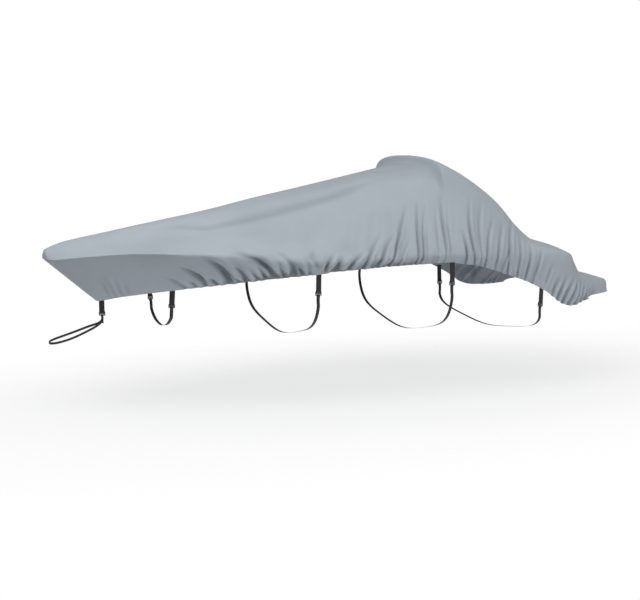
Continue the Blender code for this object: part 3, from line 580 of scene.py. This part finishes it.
shader = add_node(tree, "BsdfPrincipled", {
    "Base Color": woven, "Roughness": dull, "Normal": relief, "IOR": 1.5,
    "Specular IOR Level": 0.3, "Sheen Weight": 0.12, "Sheen Roughness": 0.45})
add_node(tree, "OutputMaterial", {0: shader})

# The same cloth's coated back: a film of polyurethane, smoother and a little darker, in which
# the weave only just shows.
cloth_back, tree = new_material("polyurethane_backing")
cloth_uv = add_node(tree, "UVMap", uv_map="cloth")
film = add_node(tree, "TexNoise", {
    "Vector": cloth_uv, "Scale": 9.0, "Detail": 5.0, "Roughness": 0.6})
coated = add_node(tree, "Mix", {"Factor": film, 6: "#8E959D", 7: "#9AA1A9"}, data_type="RGBA")
faint = add_node(tree, "TexWave", {
    "Vector": cloth_uv, "Scale": WAVE / THREAD_PITCH}, bands_direction="DIAGONAL")
relief = add_node(tree, "Bump", {
    "Height": faint.outputs["Fac"], "Strength": 0.12, "Distance": 0.0003})
shader = add_node(tree, "BsdfPrincipled", {
    "Base Color": coated.outputs[2], "Roughness": 0.55, "Normal": relief,
    "Specular IOR Level": 0.4})
add_node(tree, "OutputMaterial", {0: shader})

ahead, behind = column_places()
panels = {
    "port": lay_panel("port", ahead, ("port",), (0, -1)),
    "starboard": lay_panel("starboard", ahead, ("starboard",), (0, -1)),
    "stern": lay_panel("stern", behind, ("port", "starboard"), (0,)),
}

# ----------------------------------------
# Stitches: two rows of lockstitch along each felled seam, one round the hem,
# and a crossed box where each tab is sewn through it, all in bonded polyester
# thread of the cloth's own grey.
STITCH = {"Pitch": 0.0070, "Stitch Length": 0.0052, "Thread Thickness": 0.0011}
HEM_ROW, SEAM_ROWS, END_COLUMN = 4, (1, 2), -4  # rows and columns on which the stitches lie
STITCH_PROUD = 0.0002  # how far the thread's middle stands out of the cloth

# Bonded polyester thread: round, tight and a little glossier than the cloth it is sewn in.
thread, tree = new_material("bonded_polyester_thread")
place = add_node(tree, "TexCoord")
ply = add_node(tree, "TexNoise", {"Vector": place.outputs["Object"], "Scale": 900.0})
tint = add_node(tree, "Mix", {"Factor": ply, 6: "#9199A2", 7: "#B4BBC2"}, data_type="RGBA")
shader = add_node(tree, "BsdfPrincipled", {
    "Base Color": tint.outputs[2], "Roughness": 0.5, "Sheen Weight": 0.1})
add_node(tree, "OutputMaterial", {0: shader})

sewing = bpy.data.node_groups.new("lockstitch", "GeometryNodeTree")
sewing.interface.new_socket("Rows", in_out="INPUT", socket_type="NodeSocketGeometry")
stitch_sockets = {
    name: sewing.interface.new_socket(name, in_out="INPUT", socket_type="NodeSocketFloat").identifier
    for name in STITCH}
sewing.interface.new_socket("Stitches", in_out="OUTPUT", socket_type="NodeSocketGeometry")
given = add_node(sewing, "NodeGroupInput")
row_curve = add_node(sewing, "GeometryNodeMeshToCurve", {0: given.outputs["Rows"]})
marks = add_node(sewing, "GeometryNodeResampleCurve", {
    "Curve": row_curve, "Length": given.outputs["Pitch"]}, mode="LENGTH")
heading = add_node(sewing, "GeometryNodeInputTangent")
turned = add_node(sewing, "FunctionNodeAlignRotationToVector", {"Vector": heading}, axis="X")
one_stitch = add_node(sewing, "GeometryNodeMeshIcoSphere", {"Radius": 0.5, "Subdivisions": 1})
stitch_scale = add_node(sewing, "CombineXYZ", {
    "X": given.outputs["Stitch Length"], "Y": given.outputs["Thread Thickness"],
    "Z": given.outputs["Thread Thickness"]})
sewn = add_node(sewing, "GeometryNodeInstanceOnPoints", {
    "Points": marks, "Instance": one_stitch, "Rotation": turned, "Scale": stitch_scale})
real = add_node(sewing, "GeometryNodeRealizeInstances", {0: sewn})
smooth = add_node(sewing, "GeometryNodeSetShadeSmooth", {0: real})
finished = add_node(sewing, "GeometryNodeSetMaterial", {0: smooth, "Material": thread})
add_node(sewing, "NodeGroupOutput", {0: finished})


def sew(name, rows):
    """Stitches along rows of points on the cloth, made a plain mesh."""
    points, edges = [], []
    for row in rows:
        first = len(points)
        points += [tuple(p) for p in row]
        edges += [(k, k + 1) for k in range(first, len(points) - 1)]
    mesh = bpy.data.meshes.new(name + "_rows")
    mesh.from_pydata(points, edges, [])
    piece = put(name, mesh)
    sewer = piece.modifiers.new("sew", "NODES")
    sewer.node_group = sewing
    for size, value in STITCH.items():
        sewer[stitch_sockets[size]] = value
    evaluated = piece.evaluated_get(bpy.context.evaluated_depsgraph_get())
    made = bpy.data.meshes.new_from_object(evaluated)
    piece.modifiers.clear()
    piece.data = made
    made.name = name
    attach(piece, "root")
    return piece


for side, (piece, outer, normal) in panels.items():
    lifted = outer + STITCH_PROUD * normal
    rows = []
    if side == "stern":
        rows += [lifted[:, HEM_ROW], lifted[:, -1 - HEM_ROW], lifted[END_COLUMN, HEM_ROW:-HEM_ROW]]
        rows += [lifted[k, HEM_ROW:-HEM_ROW] for k in SEAM_ROWS]
    else:
        up = lifted if side == "port" else lifted[:, ::-1]
        rows += [up[:, HEM_ROW]] + [up[:, -1 - k] for k in SEAM_ROWS]
        rows += [up[k, HEM_ROW:-1] for k in SEAM_ROWS] + [up[-1 - k, HEM_ROW:-1] for k in SEAM_ROWS]
    sew("stitches_" + side, rows)

# ----------------------------------------
# Tabs: black polyester webbing, 60 mm wide. Each is sewn inside the hem with a
# crossed box, hangs down through its adjuster's top slot and doubles back up
# behind itself.
WEBBING = 0.0015
TAB_WIDTH, TAB_RETURN = 0.060, 0.110
TAB_DROPS = {"bow": 0.130, 1: 0.160, 2: 0.190, 3: 0.220, 4: 0.170}  # hem to adjuster, each pair
SEWN_EDGE, HEM_CLEAR = 0.004, 0.006  # a tab's top edge, and where its front leg starts
# Near a bar: where a front leg ends, where the webbing eases in, at these shares of a loop out
# for a tab and for a strap, and where its other leg runs straight.
LEG_END, EASE, LEG_STRAIGHT = 0.004, 0.012, 0.03
TAB_EASE, STRAP_EASE = -1.6, -0.45
# An adjuster's bars and the windows between them, its thickness and its rails.
BAR, WINDOW, BUCKLE_THICK, RAIL = 0.011, 0.0035, 0.006, 0.005
BAR_STEP = BAR + WINDOW
BAR_ROUND, PLAY = 0.0012, 0.0005  # how far a bar's edges are rounded off, and the play
LOOP = np.hypot(BAR / 2, BUCKLE_THICK / 2 - BAR_ROUND) + PLAY + WEBBING / 2
LEG_SLIDE = WEBBING + PLAY
SELVEDGE, WEBBING_SHARP = 0.0008, 60  # how far the webbing's edge is drawn in to a round
SIDES = {"port": -1, "starboard": 1}

# Polyester webbing: black yarns in a ribbed weave with a herringbone of crossing ribs, matt
# with a dull shine along each rib, and a firm selvedge.
RIB_PITCH, YARN_PITCH = 0.0052, 0.0016  # drawn coarser than the real 1.4 mm ribs, to show
DIAGONAL = 1.4142  # how much further apart the same scale puts a wave texture's diagonal bands
webbing, tree = new_material("ribbed_polyester_webbing")
strip = add_node(tree, "UVMap", uv_map="strip")
parts = add_node(tree, "SeparateXYZ", {0: strip})
from_middle = add_node(tree, "Math", {0: parts.outputs["X"]}, operation="ABSOLUTE")
chevron = add_node(tree, "CombineXYZ", {"X": from_middle, "Y": parts.outputs["Y"]})
ribs = add_node(tree, "TexWave", {
    "Vector": chevron, "Scale": WAVE * DIAGONAL / RIB_PITCH}, bands_direction="DIAGONAL")
yarns = add_node(tree, "TexWave", {
    "Vector": strip, "Scale": WAVE / YARN_PITCH}, bands_direction="X")
weave = add_node(tree, "Math", {
    0: ribs.outputs["Fac"], 1: yarns.outputs["Fac"], 2: 0.5}, operation="MULTIPLY_ADD")
lint = add_node(tree, "TexNoise", {"Vector": strip, "Scale": 320.0, "Detail": 2.0})
rubbed = add_node(tree, "Math", {0: weave, 1: lint}, operation="MULTIPLY")
black = add_node(tree, "Mix", {"Factor": rubbed, 6: "#1D1D1F", 7: "#38393B"}, data_type="RGBA")
relief = add_node(tree, "Bump", {"Height": weave, "Strength": 0.6, "Distance": 0.0004})
shader = add_node(tree, "BsdfPrincipled", {
    "Base Color": black.outputs[2], "Roughness": 0.68, "Normal": relief,
    "Sheen Weight": 0.15, "Sheen Roughness": 0.5, "Specular IOR Level": 0.35})
add_node(tree, "OutputMaterial", {0: shader})


def cad_points(node):
    """The corners of a CAD node's mesh."""
    return np.array([tuple(corner.co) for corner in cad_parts[node].data.vertices])


class Hanging:
    """How one adjuster hangs: its tab's middle, the way down, the way out and across."""

    def __init__(self, buckle_node, tab_node, outward, drop):
        points, tab_points = cad_points(buckle_node), cad_points(tab_node)
        centre = points.mean(axis=0)
        axes = np.linalg.svd(points - centre, full_matrices=False)[2]
        self.down = axes[1] * np.sign(-(tab_points.mean(axis=0) - centre) @ axes[1])
        self.out = axes[2] * np.sign(axes[2][1] * outward)
        self.along = np.cross(self.out, self.down)
        self.bar = centre - BAR_STEP * self.down
        self.top_bar, self.lower_bar = drop, drop + 2 * BAR_STEP
        self.base = self.bar - drop * self.down + LOOP * self.out
        height = (tab_points - self.base) @ self.down
        self.top = tab_points[height < height.min() + SEWN_EDGE].mean(axis=0)

    def point(self, down, out):
        """The point so far below the hem and out from the middle of the tab's front leg."""
        return self.base + down * self.down + out * self.out


def half_turn(hung, bar, upper, steps=14):
    """Points round a bar, from its front to its back, over its top or under it."""
    angles = np.linspace(0, np.pi, steps + 1)
    reach = -LOOP if upper else LOOP
    return [hung.point(bar + reach * np.sin(a), LOOP * (np.cos(a) - 1)) for a in angles]


def headings(path):
    """Unit vectors along a path."""
    ahead = np.gradient(path, axis=0)
    return ahead / np.linalg.norm(ahead, axis=1)[:, None]


def finished_mesh(shape, name, finish, sharp):
    """The mesh of a finished bmesh."""
    mesh = bpy.data.meshes.new(name)
    shape.to_mesh(mesh)
    shape.free()
    return smoothed(mesh, finish, sharp)


def webbing_mesh(name, path, across, width):
    """Webbing with round selvedges along a path, with its own width and length as UVs."""
    ahead = headings(path)
    across = across - (across * ahead).sum(axis=1)[:, None] * ahead
    across /= np.linalg.norm(across, axis=1)[:, None]
    flat = np.cross(ahead, across)
    half, thin = width / 2, WEBBING / 2
    ring = ((half - SELVEDGE, thin), (0, thin), (SELVEDGE - half, thin), (-half, 0),
            (SELVEDGE - half, -thin), (0, -thin), (half - SELVEDGE, -thin), (half, 0))
    points = np.stack([path + a * across + n * flat for a, n in ring], 1)
    length = running_length(path)
    shape = bmesh.new()
    strip_uv = shape.loops.layers.uv.new("strip")
    rings = [[shape.verts.new(p) for p in row] for row in points.tolist()]
    count = len(ring)
    for k in range(len(rings) - 1):
        for c in range(count):
            d = (c + 1) % count
            corners = ((k, c), (k, d), (k + 1, d), (k + 1, c))
            face = shape.faces.new([rings[i][j] for i, j in corners])
            for loop, (i, j) in zip(face.loops, corners):
                loop[strip_uv].uv = (ring[j][0], length[i])
    shape.faces.new(rings[0][::-1])
    shape.faces.new(rings[-1])
    bmesh.ops.recalc_face_normals(shape, faces=shape.faces)
    return finished_mesh(shape, name, webbing, WEBBING_SHARP)


def tab_path(hung):
    """A tab's line, from its sewn end down round the adjuster's bar and up behind itself."""
    straight = [hung.top + (hung.base - hung.top) * s for s in np.linspace(0, 1, 5)]
    bar = hung.top_bar
    front = [hung.point(d, 0) for d in np.linspace(HEM_CLEAR, bar - LEG_END, 8)]
    tail = np.linspace(bar - LEG_STRAIGHT, bar - TAB_RETURN, 4)
    behind = [hung.point(bar - EASE, TAB_EASE * LOOP), *[hung.point(d, -LEG_SLIDE) for d in tail]]
    return np.array(straight + front + half_turn(hung, bar, False) + behind)


hangings = {}
for name, outward, pair, nodes in [("bow", -1, "bow", ("bow_buckle", "bow_tab"))] + [
        (f"{side}_{pair}", sign, pair, (f"buckle_{side}_{pair}", f"tab_{side}_{pair}"))
        for side, sign in SIDES.items() for pair in range(1, len(STRAP_STATIONS) + 1)]:
    hung = Hanging(*nodes, outward, TAB_DROPS[pair])
    hangings[name] = hung
    tab_name = "bow_tab_webbing" if name == "bow" else "tab_webbing_" + name
    tab = webbing_mesh(tab_name, tab_path(hung), hung.along, TAB_WIDTH)
    add_piece(tab_name, tab, nodes[1])

# The crossed box that sews each tab to the hem, where it shows on the cloth's outer face.
BOX_LONG, BOX_HALF, BOX_PROUD = (0.004, 0.036), 0.024, 0.0008
BOX_CORNERS = ((0, -1), (0, 1), (1, 1), (1, -1), (0, -1), (1, 1), (1, -1), (0, 1))
for side, sign in SIDES.items():
    rows = []
    for name, hung in hangings.items():
        if side in name or (name, side) == ("bow", "port"):
            up = (hung.top - hung.base) / np.linalg.norm(hung.top - hung.base)
            face = np.cross(hung.along, up)
            face *= np.sign(face[1] * sign)
            middle = hung.base + (HEM_CLOTH + WEBBING / 2 + BOX_PROUD) * face
            corners = [middle + BOX_LONG[far] * up + BOX_HALF * wide * hung.along
                       for far, wide in BOX_CORNERS]
            rows += [np.array(pair) for pair in zip(corners, corners[1:])]
    sew("tab_stitches_" + side, rows)

# ----------------------------------------
# Adjusters: flat ladder-lock frames moulded in black acetal, with a top bar
# for the tab, a grip bar in the middle and a lower bar for the strap. The
# rails are rounded and the lower bar has a thumb lip.

# Moulded acetal: black, hard and slightly waxy, with a fine spark-eroded grain from the
# mould and rubbed, shinier high spots.
acetal, tree = new_material("moulded_acetal")
place = add_node(tree, "TexCoord")
grain = add_node(tree, "TexNoise", {
    "Vector": place.outputs["Object"], "Scale": 1400.0, "Detail": 2.0})
scuffs = add_node(tree, "TexNoise", {
    "Vector": place.outputs["Object"], "Scale": 130.0, "Detail": 4.0, "Roughness": 0.7})
polish = add_node(tree, "MapRange", {
    "Value": scuffs, "From Min": 0.35, "From Max": 0.7, "To Min": 0.34, "To Max": 0.52})
moulded = add_node(tree, "Mix", {"Factor": scuffs, 6: "#19191B", 7: "#242527"}, data_type="RGBA")
relief = add_node(tree, "Bump", {"Height": grain, "Strength": 0.25, "Distance": 0.0001})
shader = add_node(tree, "BsdfPrincipled", {
    "Base Color": moulded.outputs[2], "Roughness": polish, "Normal": relief, "IOR": 1.48})
add_node(tree, "OutputMaterial", {0: shader})

FRAME_PLAY, EDGE_ROUND, FRAME_SHARP = 0.001, 0.0016, 35
GRIP_TEETH, TOOTH_LONG, TOOTH_HIGH, TOOTH_SHORT = 9, 0.0022, 0.0007, 0.0026
LIP_WIDE, LIP_LONG, LIP_HIGH, LIP_BACK = 1.3, 0.0022, 0.0016, 0.0018


def add_block(shape, middle, size):
    """Add a block to a bmesh."""
    made = bmesh.ops.create_cube(shape, size=1.0)["verts"]
    bmesh.ops.scale(shape, vec=size, verts=made)
    bmesh.ops.translate(shape, vec=middle, verts=made)


def adjuster_mesh(name, hung):
    """One ladder-lock: rails and three bars cut from a rounded plate, with teeth on its grip."""
    half = TAB_WIDTH / 2 + FRAME_PLAY
    across = (-half - RAIL, -half, half, half + RAIL)
    edges = [-BAR / 2]
    for step in (BAR, WINDOW, BAR, WINDOW, BAR):
        edges.append(edges[-1] + step)
    shape = bmesh.new()
    grid = [[shape.verts.new((x, y, -BUCKLE_THICK / 2)) for y in edges] for x in across]
    for i in range(3):
        for j in range(5):
            if i != 1 or j % 2 == 0:
                shape.faces.new((grid[i][j], grid[i][j + 1], grid[i + 1][j + 1], grid[i + 1][j]))
    raised = bmesh.ops.extrude_face_region(shape, geom=shape.faces[:])["geom"]
    top = [item for item in raised if isinstance(item, bmesh.types.BMVert)]
    bmesh.ops.translate(shape, vec=(0, 0, BUCKLE_THICK), verts=top)
    bmesh.ops.recalc_face_normals(shape, faces=shape.faces)
    sharp = np.radians(FRAME_SHARP)
    corners = [e for e in shape.edges if e.is_manifold and e.calc_face_angle() > sharp]
    bmesh.ops.bevel(
        shape, geom=corners, offset=EDGE_ROUND, segments=3, profile=0.6, affect="EDGES")
    for tooth in range(GRIP_TEETH):
        middle = ((tooth + 0.5) / GRIP_TEETH * 2 * half - half, BAR_STEP, BUCKLE_THICK / 2)
        add_block(shape, middle, (TOOTH_LONG, BAR - TOOTH_SHORT, 2 * TOOTH_HIGH))
    lip = (0, 2 * BAR_STEP + BAR / 2 - LIP_BACK, BUCKLE_THICK / 2)
    add_block(shape, lip, (LIP_WIDE * half, LIP_LONG, LIP_HIGH))
    turn = Matrix(np.stack([hung.along, hung.down, np.cross(hung.along, hung.down)], 1).tolist())
    bmesh.ops.transform(
        shape, matrix=Matrix.Translation(Vector(hung.bar)) @ turn.to_4x4(), verts=shape.verts)
    return finished_mesh(shape, name, acetal, FRAME_SHARP)


for name, hung in hangings.items():
    piece_name = "bow_adjuster" if name == "bow" else "adjuster_" + name
    node = "bow_buckle" if name == "bow" else "buckle_" + name
    add_piece(piece_name, adjuster_mesh(piece_name, hung), node)

# ----------------------------------------
# Belly straps: four lengths of narrower webbing, each threaded through its
# port adjuster, passed under where the hull was, and threaded through the
# starboard one. They keep the shape in which the hull held them taut.
STRAP_WIDTH, STRAP_RETURN, STRAP_STEPS = 0.038, 0.090, 120
STRAP_LEAVE = 0.045  # how far it runs on straight, out of an adjuster
STRAP_HELD = 0.2  # how long it stays level with one adjuster before it turns to the other
# The hull at each strap: half-breadth and height of its side, then of the turn of its bilge,
# and the height of its keel.
HULLS = (
    (0.36, -0.69, 0.22, -0.78, -0.82),
    (1.06, -0.56, 0.94, -0.82, -1.02),
    (1.17, -0.54, 1.06, -0.86, -1.08),
    (1.16, -0.85, 1.06, -0.97, -1.11),
)


def strap_end(hung):
    """A strap's end, from its tip: up in front of the lower bar, over it and down behind."""
    back, bar = -2 * LOOP, hung.lower_bar
    tail = np.linspace(bar + STRAP_RETURN, bar + LEG_STRAIGHT, 8)
    front = [*[hung.point(d, back + LEG_SLIDE) for d in tail], hung.point(bar + EASE, STRAP_EASE * LOOP)]
    behind = [hung.point(d, back) for d in (bar + EASE, bar + STRAP_RETURN / 2)]
    return np.array(front + half_turn(hung, bar, True) + behind)


for number, (side_half, side_up, bilge_half, bilge_up, keel_up) in enumerate(HULLS, 1):
    port, starboard = hangings[f"port_{number}"], hangings[f"starboard_{number}"]
    ends = strap_end(port), strap_end(starboard)[::-1]
    station = ends[0][-1][0]
    half = np.array([
        (0, -side_half, side_up),
        (0, -bilge_half, bilge_up),
        (0, -bilge_half / 2, (bilge_up + keel_up) / 2),
        (0, 0, keel_up),
    ]) + (station, 0, -MOUNT_UP)
    hull_line = np.concatenate([half, half[-2::-1] * (1, -1, 1)])
    first, last = ends[0][-1], ends[1][0]
    leaving = first + STRAP_LEAVE * port.down
    arriving = last + STRAP_LEAVE * starboard.down
    control = np.array([2 * first - leaving, first, leaving, *hull_line,
                        arriving, last, 2 * last - arriving])
    round_hull = blend(control, np.linspace(0, 1, STRAP_STEPS))
    path = np.concatenate([ends[0][:-1], round_hull, ends[1][1:]])
    share = np.clip(np.linspace(-STRAP_HELD, 1 + STRAP_HELD, len(path)), 0, 1)[:, None]
    across = port.along * (1 - share) - starboard.along * share
    name = f"belly_strap_{number}"
    strap = add_piece(name, webbing_mesh(name, path, across, STRAP_WIDTH),
                      f"strap_{number}")

# ----------------------------------------
# Bow strap: one narrow length from the bow adjuster, ahead round the trailer's
# winch post and back behind itself, on edge where it passes the post.
BOW_WIDTH, BOW_LENGTH, BOW_LEAVE = 0.025, 1.56, 0.060
# Points along it, and how many of them it takes to leave the adjuster and to turn on edge, after
# the few at each end that stay square to the adjuster.
BOW_STEPS, BOW_TUCKED, BOW_TWIST, BOW_SQUARE = 180, 6, 30, (14, 18)
SAME_POINT = 0.0004  # points closer than this are one
BOW_ROUTE = (
    (0.575, -0.055, -0.750), (0.50, -0.075, -0.785), (0.40, -0.085, -0.825),
    (0.28, -0.085, -0.875), (0.15, -0.080, -0.91), (0.06, -0.060, -0.925), (0.02, 0.0, -0.925),
    (0.06, 0.060, -0.91), (0.16, 0.085, -0.885), (0.29, 0.085, -0.85), (0.41, 0.075, -0.81),
    (0.505, 0.035, -0.77), (0.565, -0.010, -0.75),
)
hung = hangings["bow"]
end = strap_end(hung)
back = -2 * LOOP - LEG_SLIDE
leave = hung.point(hung.lower_bar + BOW_LEAVE, -2 * LOOP)
arrive = hung.point(hung.lower_bar + BOW_LEAVE, back)
tip = hung.point(hung.lower_bar + BAR_STEP, back)
route = np.array(BOW_ROUTE) - (MOUNT_AFT, 0, MOUNT_UP)
control = np.array([end[-1], end[-1], end[-1], leave, *route, arrive, tip, tip, tip])
path = np.concatenate([end[:-1], blend(control, np.linspace(0, 1, BOW_STEPS))])
path = path[np.insert(np.diff(running_length(path)) > SAME_POINT, 0, True)]
step = np.arange(len(path))[:, None]
out, home = step - len(end), len(path) - step
free = np.clip(np.minimum(out, home - BOW_TUCKED) / BOW_TUCKED, 0, 1)
lean = np.clip(np.minimum(out - BOW_SQUARE[0], home - BOW_SQUARE[1]) / BOW_TWIST, 0, 1)
sideways = np.cross(headings(path), (0, 1, 0)) * np.where(step < len(path) / 2, 1, -1)
across = hung.along * (1 - free) + free * (sideways * (1 - lean) - np.array([0, 0, 1]) * lean)
strap = add_piece("bow_strap_webbing", webbing_mesh("bow_strap_webbing", path, across, BOW_WIDTH),
                  "bow_strap")
